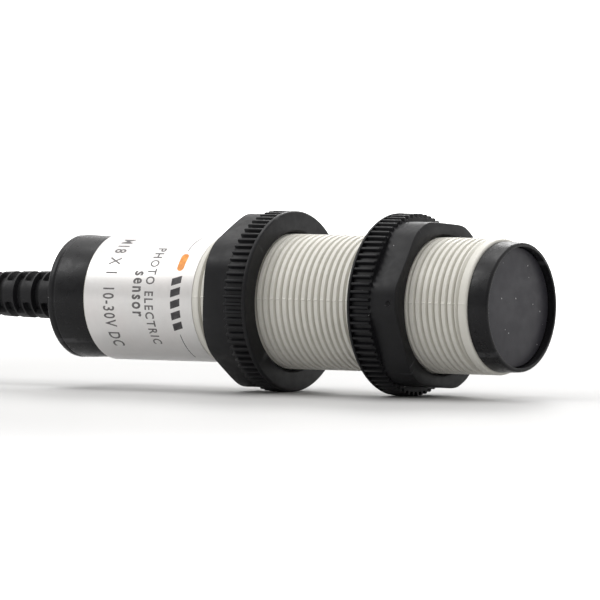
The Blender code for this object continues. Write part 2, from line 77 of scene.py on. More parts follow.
class Shell:
    """Points and faces of one mesh, put together ring by ring."""

    def __init__(self):
        self.points, self.faces = [], []

    def ring(self, points):
        start = len(self.points)
        self.points.extend(points)
        return list(range(start, len(self.points)))

    def join(self, first, second):
        for here in range(len(first)):
            after = (here + 1) % len(first)
            self.faces.append((first[here], first[after], second[after], second[here]))

    def skin(self, rings, capped=False):
        """Join rings in order, then cap both ends or join the last ring to the first."""
        for first, second in zip(rings, rings[1:] if capped else rings[1:] + rings[:1]):
            self.join(first, second)
        if capped:
            self.faces += [tuple(rings[0]), tuple(rings[-1])]

    def made(self, name, material, sharp=CREASE):
        mesh = bpy.data.meshes.new(name)
        mesh.from_pydata([tuple(point) for point in self.points], [], self.faces)
        builder = bmesh.new()
        builder.from_mesh(mesh)
        bmesh.ops.recalc_face_normals(builder, faces=builder.faces)
        builder.to_mesh(mesh)
        builder.free()
        return place(name, mesh, material, sharp)


def place(name, mesh, material, sharp=CREASE):
    """Link a mesh as an object with its material and smooth shading."""
    mesh.shade_smooth()
    mesh.set_sharp_from_angle(angle=math.radians(sharp))
    if material:
        mesh.materials.append(material)
    thing = bpy.data.objects.new(name, mesh)
    link(thing)
    return thing


def closed_mesh(builder, name):
    """Turn a bmesh into a mesh and free it."""
    mesh = bpy.data.meshes.new(name)
    builder.to_mesh(mesh)
    builder.free()
    return mesh


def settle(piece, body, node):
    """Make a piece ride on a body, in place of a CAD node, which is hidden."""
    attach(piece, body)
    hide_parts(node)


def soften(corners, steps=4, closed=True):
    """Round an outline's corners; a corner is (behind, radius) or (behind, radius, fillet)."""
    outline, count = [], len(corners)
    for number, corner in enumerate(corners):
        here = Vector(corner[:2])
        if len(corner) < 3 or (not closed and number in (0, count - 1)):
            outline.append(here)
            continue
        before, after = Vector(corners[number - 1][:2]), Vector(corners[(number + 1) % count][:2])
        start = here + (before - here).normalized() * corner[2]
        end = here + (after - here).normalized() * corner[2]
        for step in range(steps + 1):
            t = step / steps
            outline.append(start * (1 - t) ** 2 + here * 2 * t * (1 - t) + end * t * t)
    return outline


def lathe(name, corners, material, sides, y=0.0, closed=True):
    """A turned solid about an axis along X; an open outline starts and ends on the axis."""
    shell = Shell()
    angles = [2 * math.pi * side / sides for side in range(sides)]
    outline = soften(corners, closed=closed)
    if not closed:
        outline = outline[1:-1]
    rings = [
        shell.ring([spot(behind, radius, angle, y) for angle in angles])
        for behind, radius in outline
    ]
    shell.skin(rings, not closed)
    return shell.made(name, material)


TUBE_SIDES = 14


def tube(name, points, radius, material):
    """A closed round tube along points in metres; radius in metres or one per point."""
    shell, rings = Shell(), []
    radii = radius if isinstance(radius, list) else [radius] * len(points)
    side = None
    for number, point in enumerate(points):
        ahead = points[min(number + 1, len(points) - 1)]
        back = points[max(number - 1, 0)]
        along = (Vector(ahead) - Vector(back)).normalized()
        if side is None:
            side = along.orthogonal()
        side = (side - along * side.dot(along)).normalized()
        other = along.cross(side)
        turns = [2 * math.pi * step / TUBE_SIDES for step in range(TUBE_SIDES)]
        rings.append(shell.ring([
            Vector(point) + (side * math.cos(t) + other * math.sin(t)) * radii[number]
            for t in turns
        ]))
    shell.skin(rings, True)
    return shell.made(name, material, 50.0)


def carve(target, *cutters):
    """Take closed shapes out of a piece and remove them."""
    for cutter in cutters:
        step = target.modifiers.new("carve", "BOOLEAN")
        step.operation, step.solver, step.object = "DIFFERENCE", "EXACT", cutter
    bpy.context.view_layer.update()
    depsgraph = bpy.context.evaluated_depsgraph_get()
    mesh = bpy.data.meshes.new_from_object(target.evaluated_get(depsgraph))
    target.modifiers.clear()
    target.data = mesh
    for cutter in cutters:
        bpy.data.objects.remove(cutter, do_unlink=True)
    mesh.set_sharp_from_angle(angle=math.radians(CREASE))


def route_curve(route, spacing):
    """Points along a Catmull-Rom curve through a route, evenly spaced."""
    knots = [Vector(point) for point in route]
    knots = [2 * knots[0] - knots[1], *knots, 2 * knots[-1] - knots[-2]]
    fine, parts = [], 20
    for before, start, end, after in zip(knots, knots[1:], knots[2:], knots[3:]):
        for step in range(parts):
            t = step / parts
            fine.append(0.5 * (
                2 * start
                + (end - before) * t
                + (2 * before - 5 * start + 4 * end - after) * t * t
                + (3 * start - before - 3 * end + after) * t ** 3
            ))
    fine.append(knots[-2])
    reached = [0.0]
    for here, there in zip(fine, fine[1:]):
        reached.append(reached[-1] + (there - here).length)
    count = max(2, round(reached[-1] / spacing))
    chosen, at = [], 0
    for number in range(count + 1):
        wanted = reached[-1] * number / count
        while at < len(fine) - 2 and reached[at + 1] < wanted:
            at += 1
        share = (wanted - reached[at]) / max(reached[at + 1] - reached[at], 1e-9)
        chosen.append(fine[at].lerp(fine[at + 1], min(max(share, 0.0), 1.0)))
    return chosen


# ---------------------------- materials


def add_node(tree, kind, **values):
    """A new node with some of its settings."""
    made = tree.nodes.new(kind)
    for name, value in values.items():
        setattr(made, name, value)
    return made


def set_range(node, *numbers):
    """Set a Map Range node's from and to limits."""
    for name, number in zip(("From Min", "From Max", "To Min", "To Max"), numbers):
        node.inputs[name].default_value = number


class Finish:
    """A Principled material with its colour, gloss and bump worked out by nodes."""

    def __init__(self, name, roughness=0.5, metallic=0.0, **sockets):
        self.material = bpy.data.materials.new(name)
        self.material.use_nodes = True
        self.tree = self.material.node_tree
        self.shader = self.tree.nodes["Principled BSDF"]
        self.shader.inputs["Roughness"].default_value = roughness
        self.shader.inputs["Metallic"].default_value = metallic
        for socket, value in sockets.items():
            self.shader.inputs[socket.replace("_", " ")].default_value = value
        self.where = self.tree.nodes.new("ShaderNodeTexCoord").outputs["Object"]

    def node(self, kind, **values):
        return add_node(self.tree, kind, **values)

    def link(self, source, target):
        self.tree.links.new(source, target)

    def math(self, operation, first, second=0.0, third=0.0):
        made = self.node("ShaderNodeMath", operation=operation)
        for socket, value in zip(made.inputs, (first, second, third)):
            if isinstance(value, (int, float)):
                socket.default_value = value
            else:
                self.link(value, socket)
        return made.outputs[0]

    def stretched(self, scale):
        made = self.node("ShaderNodeMapping")
        made.inputs["Scale"].default_value = scale
        self.link(self.where, made.inputs["Vector"])
        return made.outputs[0]

    def noise(self, scale, detail=3.0, stretch=None, distortion=0.0):
        made = self.node("ShaderNodeTexNoise")
        made.inputs["Scale"].default_value = scale
        made.inputs["Detail"].default_value = detail
        made.inputs["Distortion"].default_value = distortion
        self.link(self.stretched(stretch) if stretch else self.where, made.inputs["Vector"])
        return made.outputs["Fac"]

    def specks(self, scale, size, share):
        """1 inside scattered specks of about this size, in a share of the cells."""
        cells = self.node("ShaderNodeTexVoronoi")
        cells.inputs["Scale"].default_value = scale
        self.link(self.where, cells.inputs["Vector"])
        near = self.math("LESS_THAN", cells.outputs["Distance"], size)
        red = self.node("ShaderNodeSeparateColor")
        self.link(cells.outputs["Color"], red.inputs[0])
        chosen = self.math("GREATER_THAN", red.outputs[0], 1.0 - share)
        return self.math("MULTIPLY", near, chosen)

    def between(self, value, low, high, out_low=0.0, out_high=1.0):
        made = self.node("ShaderNodeMapRange", interpolation_type="SMOOTHSTEP")
        set_range(made, low, high, out_low, out_high)
        self.link(value, made.inputs["Value"])
        return made.outputs["Result"]

    def mix(self, share, first, second):
        made = self.node("ShaderNodeMix", data_type="RGBA")
        sockets = made.inputs[0], made.inputs[6], made.inputs[7]
        for socket, value in zip(sockets, (share, first, second)):
            if isinstance(value, tuple):
                socket.default_value = (*value, 1.0)
            elif isinstance(value, (int, float)):
                socket.default_value = value
            else:
                self.link(value, socket)
        return made.outputs[2]

    def radius_mm(self):
        """Distance from the sensor's axis, in millimetres."""
        parts = self.node("ShaderNodeSeparateXYZ")
        self.link(self.where, parts.inputs[0])
        across, up = parts.outputs[1], self.math("SUBTRACT", parts.outputs[2], AXIS_Z)
        squares = self.math("MULTIPLY_ADD", up, up, self.math("MULTIPLY", across, across))
        return self.math("MULTIPLY", self.math("SQRT", squares), 1000.0)

    def edges(self, low, high):
        """Rises along convex edges."""
        return self.between(self.node("ShaderNodeNewGeometry").outputs["Pointiness"], low, high)

    def colour(self, source):
        self.link(source, self.shader.inputs["Base Color"])

    def rough(self, source, low, high):
        self.link(self.between(source, 0.3, 0.7, low, high), self.shader.inputs["Roughness"])

    def bump(self, *layers):
        """Each layer is (height socket, strength, distance in millimetres)."""
        normal = None
        for height, strength, distance in layers:
            made = self.node("ShaderNodeBump")
            made.inputs["Strength"].default_value = strength
            made.inputs["Distance"].default_value = distance * MM
            self.link(height, made.inputs["Height"])
            if normal:
                self.link(normal, made.inputs["Normal"])
            normal = made.outputs["Normal"]
        self.link(normal, self.shader.inputs["Normal"])


DUST_COLOUR = (0.4, 0.4, 0.4)


def moulded(name, dark, light, rough, grain=0.25, dust=0.0, edge_highlight_colour=None, **sockets):
    """Moulded plastic: cloudy tone, fine grain, uneven gloss, a few specks and a painted highlight
    on convex edges, in patches.
    """
    finish = Finish(name, rough[0], **sockets)
    cloud = finish.noise(170.0, 4.0, distortion=0.6)
    fine = finish.noise(5200.0, 2.0)
    tone = finish.mix(finish.between(cloud, 0.25, 0.75), dark, light)
    if edge_highlight_colour:
        patches = finish.between(finish.noise(420.0, 4.0), 0.35, 0.65)
        # painted highlight: convex edges are lightened in patches, standing in for the glint along
        # them
        painted_edge_highlight = finish.math("MULTIPLY", finish.edges(0.56, 0.70), patches)
        tone = finish.mix(painted_edge_highlight, tone, edge_highlight_colour)
    if dust:
        specks = finish.math("MULTIPLY", finish.specks(800.0, 0.08, 3.0 * dust), 0.6)
        tone = finish.mix(specks, tone, DUST_COLOUR)
    finish.colour(tone)
    finish.rough(finish.noise(900.0, 5.0, distortion=0.4), *rough)
    finish.bump((fine, grain, 0.02), (cloud, 0.12, 0.05))
    return finish.material


def barrel_finish():
    """Light warm grey moulded plastic, darker down in the thread from painted shade, with a painted
    highlight on convex edges.
    """
    finish = Finish("barrel_moulded", 0.42, Specular_IOR_Level=0.42)
    cloud = finish.noise(140.0, 4.0, distortion=0.5)
    streak = finish.noise(520.0, 3.0, stretch=(0.25, 1.0, 1.0))
    tone = finish.mix(
        finish.between(cloud, 0.3, 0.7), (0.675, 0.660, 0.602), (0.735, 0.720, 0.662)
    )
    # painted shade: the colour darkens towards the thread root, streaked, standing in for the shade
    # down in the grooves
    groove_shade = finish.between(finish.radius_mm(), 8.35, 8.85, 0.55, 0.0)
    painted_groove_shade = finish.math("MULTIPLY", groove_shade, finish.between(streak, 0.2, 0.8, 0.7, 1.0))
    tone = finish.mix(painted_groove_shade, tone, (0.47, 0.455, 0.405))
    # painted highlight: convex thread edges are lightened, standing in for the glint along them
    painted_edge_highlight = finish.math("MULTIPLY", finish.edges(0.53, 0.66), 0.35)
    tone = finish.mix(painted_edge_highlight, tone, (0.84, 0.83, 0.78))
    specks = finish.math("MULTIPLY", finish.specks(540.0, 0.04, 0.05), 0.5)
    tone = finish.mix(specks, tone, (0.22, 0.2, 0.17))
    finish.colour(tone)
    finish.rough(finish.noise(800.0, 5.0), 0.36, 0.5)
    finish.bump((finish.noise(4800.0, 2.0), 0.2, 0.02), (streak, 0.08, 0.03))
    return finish.material


def window_finish():
    """Dark infrared filter with a satin face and stray specks of dust."""
    finish = Finish(
        "filter_satin", 0.4, Specular_IOR_Level=0.3, Coat_Weight=0.04, Coat_Roughness=0.3
    )
    cloud = finish.noise(260.0, 4.0)
    tone = finish.mix(finish.between(cloud, 0.3, 0.7), (0.025, 0.024, 0.030), (0.031, 0.030, 0.036))
    tone = finish.mix(finish.specks(900.0, 0.10, 0.4), tone, (0.34, 0.34, 0.34))
    finish.colour(tone)
    finish.rough(finish.noise(700.0, 6.0), 0.34, 0.46)
    finish.bump((finish.noise(6500.0, 2.0), 0.12, 0.01))
    return finish.material


def foil_finish():
    """Satin silver label film with a faint drawn grain round the barrel."""
    finish = Finish("label_silver", 0.32, 0.45, Specular_IOR_Level=0.5)
    drawn = finish.noise(1500.0, 3.0, stretch=(1.0, 0.5, 0.5))
    cloud = finish.noise(120.0, 2.0)
    tone = finish.mix(finish.between(drawn, 0.3, 0.7), (0.795, 0.785, 0.775), (0.815, 0.805, 0.795))
    tone = finish.mix(finish.between(cloud, 0.35, 0.75, 0.0, 0.3), tone, (0.81, 0.745, 0.72))
    finish.colour(tone)
    finish.rough(drawn, 0.33, 0.36)
    finish.bump((drawn, 0.01, 0.005), (cloud, 0.05, 0.08))
    return finish.material


def ink_finish(name, colour):
    """Printed ink, slightly uneven."""
    finish = Finish(name, 0.45)
    patchy = finish.noise(1500.0, 4.0)
    finish.colour(finish.mix(
        finish.between(patchy, 0.35, 0.75), colour, tuple(min(1.0, c * 1.5 + 0.02) for c in colour)
    ))
    finish.rough(patchy, 0.4, 0.55)
    return finish.material


def metal_finish(name, dark, light, rough, stretch=(1.0, 1.0, 1.0)):
    """Bare metal with fine drawn or turned marks."""
    finish = Finish(name, rough[0], 1.0)
    marks = finish.noise(2600.0, 4.0, stretch=stretch)
    finish.colour(finish.mix(finish.between(marks, 0.3, 0.7), dark, light))
    finish.rough(marks, *rough)
    finish.bump((marks, 0.15, 0.01))
    return finish.material


def clear_finish(name, tint):
    """Clear moulded plastic with soft flow marks."""
    finish = Finish(name, 0.08, Transmission_Weight=0.9, IOR=1.49)
    flow = finish.noise(600.0, 2.0)
    finish.colour(finish.mix(finish.between(flow, 0.3, 0.7), tint, tuple(c * 0.96 for c in tint)))
    finish.rough(flow, 0.05, 0.12)
    finish.bump((flow, 0.06, 0.02))
    return finish.material


def board_finish():
    """Green solder mask with lighter copper tracks under it."""
    finish = Finish("board_mask", 0.32)
    bricks = finish.node("ShaderNodeTexBrick")
    bricks.inputs["Scale"].default_value = 420.0
    bricks.inputs["Mortar Size"].default_value = 0.06
    finish.link(finish.where, bricks.inputs["Vector"])
    cloud = finish.noise(500.0, 3.0)
    tone = finish.mix(finish.between(cloud, 0.3, 0.7), (0.015, 0.12, 0.05), (0.022, 0.15, 0.065))
    tone = finish.mix(bricks.outputs["Fac"], tone, (0.05, 0.26, 0.11))
    finish.colour(tone)
    finish.rough(cloud, 0.26, 0.4)
    finish.bump((bricks.outputs["Fac"], 0.3, 0.03))
    return finish.material


BARREL = barrel_finish()
WINDOW = window_finish()
FOIL = foil_finish()
BLACK = moulded(
    "black_moulded", (0.0055, 0.0055, 0.0066), (0.0085, 0.0085, 0.0098), (0.25, 0.40),
    dust=0.015, edge_highlight_colour=(0.045, 0.045, 0.048), Specular_IOR_Level=0.26,
)
NUT = moulded(
    "nut_moulded", (0.0055, 0.0055, 0.0066), (0.0085, 0.0085, 0.0098), (0.38, 0.50),
    grain=0.4, dust=0.05, edge_highlight_colour=(0.05, 0.05, 0.054), Specular_IOR_Level=0.26,
)
RELIEF = moulded(
    "relief_soft", (0.0075, 0.0075, 0.0088), (0.0115, 0.0115, 0.013), (0.42, 0.56),
    grain=0.4, dust=0.01, Specular_IOR_Level=0.26,
)
JACKET = moulded(
    "jacket_pvc", (0.007, 0.007, 0.008), (0.011, 0.011, 0.012), (0.42, 0.56),
    grain=0.4, dust=0.03, Specular_IOR_Level=0.3,
)
TIE = moulded("tie_nylon", (0.010, 0.010, 0.010), (0.016, 0.016, 0.016), (0.34, 0.46), dust=0.02)
SEAL = moulded("seal_rubber_soft", (0.012, 0.012, 0.013), (0.018, 0.018, 0.019), (0.6, 0.75))
PACKAGE = moulded(
    "package_epoxy", (0.014, 0.014, 0.015), (0.021, 0.021, 0.022), (0.5, 0.65), grain=0.6
)
BOARD = board_finish()
CAN = metal_finish("can_sleeve", (0.62, 0.62, 0.63), (0.78, 0.78, 0.79), (0.24, 0.36))
BRASS = metal_finish("brass_turned", (0.62, 0.42, 0.17), (0.76, 0.54, 0.25), (0.24, 0.38))
COPPER = metal_finish(
    "copper_strands", (0.72, 0.36, 0.22), (0.90, 0.52, 0.36), (0.26, 0.42), (1.0, 1.0, 0.2)
)
CLEAR = clear_finish("lens_clear", (0.95, 0.96, 0.97))
LED = moulded("led_diffused", (0.55, 0.03, 0.02), (0.70, 0.06, 0.04), (0.18, 0.3), grain=0.1)
EMITTER = moulded(
    "emitter_tinted", (0.07, 0.055, 0.12), (0.12, 0.10, 0.18), (0.1, 0.2), grain=0.1
)
DETECTOR = moulded(
    "detector_dark", (0.015, 0.015, 0.017), (0.025, 0.022, 0.03), (0.12, 0.24), grain=0.1
)
TRIMMER = moulded("trimmer_blue_moulded", (0.03, 0.10, 0.36), (0.05, 0.14, 0.46), (0.36, 0.5))
CORES = {
    "brown": moulded("core_brown_pvc", (0.11, 0.04, 0.02), (0.15, 0.06, 0.03), (0.36, 0.5)),
    "black": moulded("core_black_pvc", (0.016, 0.016, 0.016), (0.026, 0.026, 0.026), (0.36, 0.5)),
    "blue": moulded("core_blue_pvc", (0.015, 0.075, 0.40), (0.03, 0.11, 0.50), (0.36, 0.5)),
}
INK = ink_finish("ink_dark", (0.035, 0.033, 0.035))
INK_GREY = ink_finish("ink_grey", (0.11, 0.105, 0.105))
INK_ORANGE = ink_finish("ink_orange", (0.78, 0.26, 0.03))

for node, finish in {
    "front_seal": SEAL, "rear_seal": SEAL, "optics_holder": PACKAGE, "emitter_lens": CLEAR,
    "receiver_lens": CLEAR, "infrared_emitter": EMITTER, "photodiode": DETECTOR,
    "optics_board": BOARD, "main_board": BOARD, "board_connector": PACKAGE,
    "amplifier_chip": PACKAGE, "voltage_regulator": PACKAGE, "output_transistor": PACKAGE,
    "protection_diode": PACKAGE, "smoothing_capacitor": CAN, "indicator_led": LED,
    "trimmer_body": TRIMMER, "core_brown": CORES["brown"], "core_black": CORES["black"],
    "core_blue": CORES["blue"],
}.items():
    NODES[node].data.materials.clear()
    NODES[node].data.materials.append(finish)


# ---------------------------- camera

AIM = Vector((0.0100, 0.0, 0.0122))
AZIMUTH, ELEVATION = math.radians(34.0), math.radians(2.3)
DISTANCE = 1.5
back = Vector((
    math.sin(AZIMUTH) * math.cos(ELEVATION),
    -math.cos(AZIMUTH) * math.cos(ELEVATION),
    math.sin(ELEVATION),
))
camera_data = bpy.data.cameras.new("camera")
camera_data.lens = 680.0
camera_data.sensor_width = 36.0
camera_data.clip_start, camera_data.clip_end = 0.05, 40.0
camera = bpy.data.objects.new("camera", camera_data)
camera.location = AIM + back * DISTANCE
camera.rotation_mode = "QUATERNION"
camera.rotation_quaternion = (-back).to_track_quat("-Z", "Y")
link(camera)
scene.camera = camera


# ---------------------------- cable, its hank and the tie

CABLE_RADIUS = 2.0
# millimetres behind the face, to the side, and above the floor
CABLE_ROUTE = (
    (66.5, 0.0, 12.0),
    (75.0, 0.0, 12.0),
    (84.0, 0.0, 12.0),
    (91.0, 0.0, 12.0),
    (97.0, 0.3, 11.5),
    (104.0, 1.7, 9.6),
    (111.0, 4.3, 6.9),
    (118.0, 7.6, 4.5),
    (125.0, 10.8, 2.8),
    (132.0, 13.2, 2.1),
    (139.0, 14.9, 2.0),
    (149.0, 16.0, 2.0),
)
HANK_NEAR = FRONT_X / MM - CABLE_ROUTE[-1][0]
HANK_STRAIGHT = 62.0
HANK_OUTER, HANK_INNER, HANK_STEP = 16.0, 12.54, 4.0
# each turn of the hank: half its width and its height; five turns up the outside, four down inside
TURNS = [(HANK_OUTER, CABLE_RADIUS + HANK_STEP * n) for n in range(5)]
TURNS += [(HANK_INNER, 16.0 - HANK_STEP * n) for n in range(4)]
SIDE_STEPS, END_STEPS, LAST_STEPS = 12, 20, 13
TIE_X = HANK_NEAR - 0.5 * HANK_STRAIGHT
TIE_SQUEEZE = 0.9


def squeezed(x, y, z):
    """Pull the turns together and off the floor where the tie goes round them."""
    near = 1.0 - smooth(abs(x - TIE_X), 2.6, 15.0)
    z = z + TIE_SQUEEZE * near * (1.0 - z / 22.0) * 1.15
    return Vector((x, y - math.copysign(TIE_SQUEEZE * near, y) * (abs(y) > 14), z))


def hank_points():
    """Centreline of the hank, in millimetres, from the near end of its left-hand side."""
    points = []
    for number, (wide, high) in enumerate(TURNS):
        last = number == len(TURNS) - 1
        after_wide, after_high = TURNS[number + 1] if not last else (wide, high)
        for step in range(SIDE_STEPS):
            points.append((HANK_NEAR - HANK_STRAIGHT * step / SIDE_STEPS, wide, high))
        for step in range(END_STEPS):
            angle = math.pi / 2 + math.pi * step / END_STEPS
            points.append((
                HANK_NEAR - HANK_STRAIGHT + wide * math.cos(angle), wide * math.sin(angle), high
            ))
        if last:
            # the end lies down inside the hank
            for step in range(LAST_STEPS + 1):
                share = smooth(step / LAST_STEPS, 0.1, 1.0)
                points.append((
                    HANK_NEAR - HANK_STRAIGHT * (1.0 - 0.78 * step / LAST_STEPS),
                    -wide + 6.4 * share,
                    high + (2.05 - high) * smooth(step / LAST_STEPS, 0.0, 0.8),
                ))
            continue
        for step in range(SIDE_STEPS):
            points.append((HANK_NEAR - HANK_STRAIGHT * (1 - step / SIDE_STEPS), -wide, high))
        for step in range(END_STEPS):
            share = step / END_STEPS
            angle = -math.pi / 2 + math.pi * share
            bulge = smooth(share, 0.0, 0.25) * (1 - smooth(share, 0.75, 1.0))
            if wide == after_wide:
                radius, height = wide, high + (after_high - high) * share
            else:
                radius = wide + (after_wide - wide) * smooth(share, 0.0, 0.45)
                height = high + (after_high - high) * smooth(share, 0.4, 1.0) + 0.35 * bulge
            if after_wide < 14:
                radius -= 0.54 * bulge
            points.append((HANK_NEAR + radius * math.cos(angle), radius * math.sin(angle), height))
    return [squeezed(*point) for point in points]


lead_in = [Vector((FRONT_X / MM - behind, y, z)) for behind, y, z in CABLE_ROUTE]
hank = hank_points()
SPACING = 2.6
centreline = route_curve(lead_in, SPACING)[:-1] + route_curve(hank, SPACING)

jacket_data = bpy.data.curves.new("cable_jacket_run", "CURVE")
jacket_data.dimensions = "3D"
jacket_data.bevel_depth = CABLE_RADIUS * MM
jacket_data.bevel_resolution = 5
jacket_data.use_fill_caps = True
jacket_data.resolution_u = 1
spline = jacket_data.splines.new("POLY")
spline.points.add(len(centreline) - 1)
for slot, point in zip(spline.points, centreline):
    slot.co = (*(point * MM), 1.0)
spline.use_smooth = True
jacket_data.materials.append(JACKET)
jacket = bpy.data.objects.new("cable_jacket_run", jacket_data)
link(jacket)
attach(jacket, "sensor")
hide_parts("cable_run", "cable_coil")

# stripped ends: insulation, then a twisted copper tip, lying inside the hank
LEAD_END, STRIP, LEAD_SPACING = 143.0, 5.0, 0.6
CORE_RADIUS, TIP_RADIUS = 0.6, 0.36
cord_pieces = []
for number, (colour, end_y) in enumerate((("brown", -6.0), ("black", -2.6), ("blue", 0.8))):
    start = hank[-1]
    towards = (hank[-1] - hank[-2]).normalized()
    across = Vector((0.0, 1.0, 0.0)) * (0.95 * (number - 1))
    raw = [start - towards * 2.5 + across * 0.7, start + towards * 0.6 + across]
    first_x, last_x = start.x + 3.0, FRONT_X / MM - LEAD_END
    for step in range(8):
        share = smooth(step, 0, 7)
        x = first_x + (last_x - first_x) * step / 7
        y = start.y + across.y * 1.5 + (end_y - start.y - across.y * 1.5) * share
        wave = 0.22 * math.sin(2.1 * step + number) * (step < 7)
        raw.append(Vector((x, y + wave, 0.66 + (start.z - 0.66) * (1 - smooth(step, -1, 2)))))
    path = route_curve(raw, LEAD_SPACING)
    strip = len(path) - int(STRIP / LEAD_SPACING)
    wire_path = [p * MM for p in path[:strip]]
    wire = tube(f"lead_{colour}_wire", wire_path, CORE_RADIUS * MM, CORES[colour])
    tip_path = [p * MM for p in path[strip - 2:]]
    swell = [TIP_RADIUS * MM * (1 + 0.09 * math.sin(1.9 * n)) for n in range(len(tip_path))]
    tip = tube(f"lead_{colour}_tip", tip_path, swell, COPPER)
    settle(wire, "sensor", f"lead_{colour}")
    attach(tip, "sensor")
    cord_pieces += [wire, tip]


def tie_band():
    """Nylon tie round the middle of the hank: ribbed strap, locking head and trimmed tail."""
    wide, top = 18.0, 20.0
    corners = ((-wide, 0.03), (wide, 0.03), (wide, top + 0.75), (-wide, top + 0.75))
    loop = soften([(*corner, 1.7) for corner in corners], 6)
    # points along the straight sides, so that the ribs follow them
    fine = []
    for here, there in zip(loop, loop[1:] + loop[:1]):
        parts = max(1, int((there - here).length / 0.9))
        fine += [here.lerp(there, part / parts) for part in range(parts)]
    shell, rings = Shell(), []
    half, thick = 1.8, 0.75
    profile = (
        (-half, 0.12), (-half + 0.12, 0.0), (half - 0.12, 0.0), (half, 0.12),
        (half, thick - 0.2), (half - 0.25, thick), (0.75, thick), (0.6, thick - 0.2),
        (-0.6, thick - 0.2), (-0.75, thick), (-half + 0.25, thick), (-half, thick - 0.2),
    )
    middle = Vector((0.0, 0.5 * top))
    for number, here in enumerate(fine):
        along = (fine[(number + 1) % len(fine)] - fine[number - 1]).normalized()
        out = Vector((along.y, -along.x))
        if out.dot(here - middle) < 0:
            out = -out
        rib = 0.12 * (number % 2)
        row = []
        for side, height in profile:
            depth = thick - height + (rib if abs(side) <= 0.61 else 0.0)
            point = here - out * depth
            row.append(Vector((TIE_X + side, point.x, point.y)) * MM)
        rings.append(shell.ring(row))
    shell.skin(rings)
    strap = shell.made("tie_strap", TIE, 30.0)
    builder = bmesh.new()
    bmesh.ops.create_cube(builder, size=1.0)
    centre = Vector((TIE_X, 6.0, top + 1.6))
    for vertex in builder.verts:
        x, y, z = vertex.co
        vertex.co = (centre + Vector((x * 5.0, y * 4.6, z * 2.8))) * MM
    bmesh.ops.bevel(
        builder, geom=builder.edges[:], offset=0.5 * MM, segments=3, affect="EDGES", profile=0.6
    )
    head = place("tie_head", closed_mesh(builder, "tie_head"), TIE)
    shell, rings = Shell(), []
    for step in range(7):
        y, z = 7.8 + 0.85 * step, top + 1.9 + 0.035 * step * step
        edge = ((-1.6, -0.4), (1.6, -0.4), (1.6, 0.4), (-1.6, 0.4))
        rings.append(shell.ring([Vector((TIE_X + x, y, z + up)) * MM for x, up in edge]))
    shell.skin(rings, True)
    return strap, head, shell.made("tie_tail", TIE, 30.0)


for piece in tie_band():
    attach(piece, "sensor")
    cord_pieces.append(piece)
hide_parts("coil_tie")


# ---------------------------- barrel

PITCH, THREAD_TURNS, THREAD_REAR, THREAD_FRONT = 1.0, 42, 46.3, 4.3
CREST, ROOT, BORE, SEAT = 8.95, 8.37, 7.05, 8.15
SEAT_FRONT = 46.6
COLLAR_FRONT, COLLAR_REAR, COLLAR = 3.0, 4.2, 8.95
LABEL_FRONT, LABEL_REAR, BARREL_REAR = 46.7, 64.1, 64.3
PARTING = (math.radians(85.7), math.radians(265.7))
PARTING_WIDTH = math.radians(0.42)
PARTING_HEIGHT = 0.09
THREAD_ROWS = (
    0.0, 0.05, 0.10, 0.15, 0.20, 0.26, 0.34, 0.44, 0.56, 0.66, 0.74, 0.80, 0.85, 0.90, 0.95,
)


def thread_height(share):
    """Height of the thread across one pitch, 0 in the groove and 1 on the flat-topped crest."""
    away = abs(share - 0.5)
    return 1.0 - smooth(away, 0.27, 0.46)


def flash(angle):
    """The fine raised line where the mould halves met."""
    return sum(
        math.exp(-((math.remainder(angle - line, 2 * math.pi) / PARTING_WIDTH) ** 2))
        for line in PARTING
    )


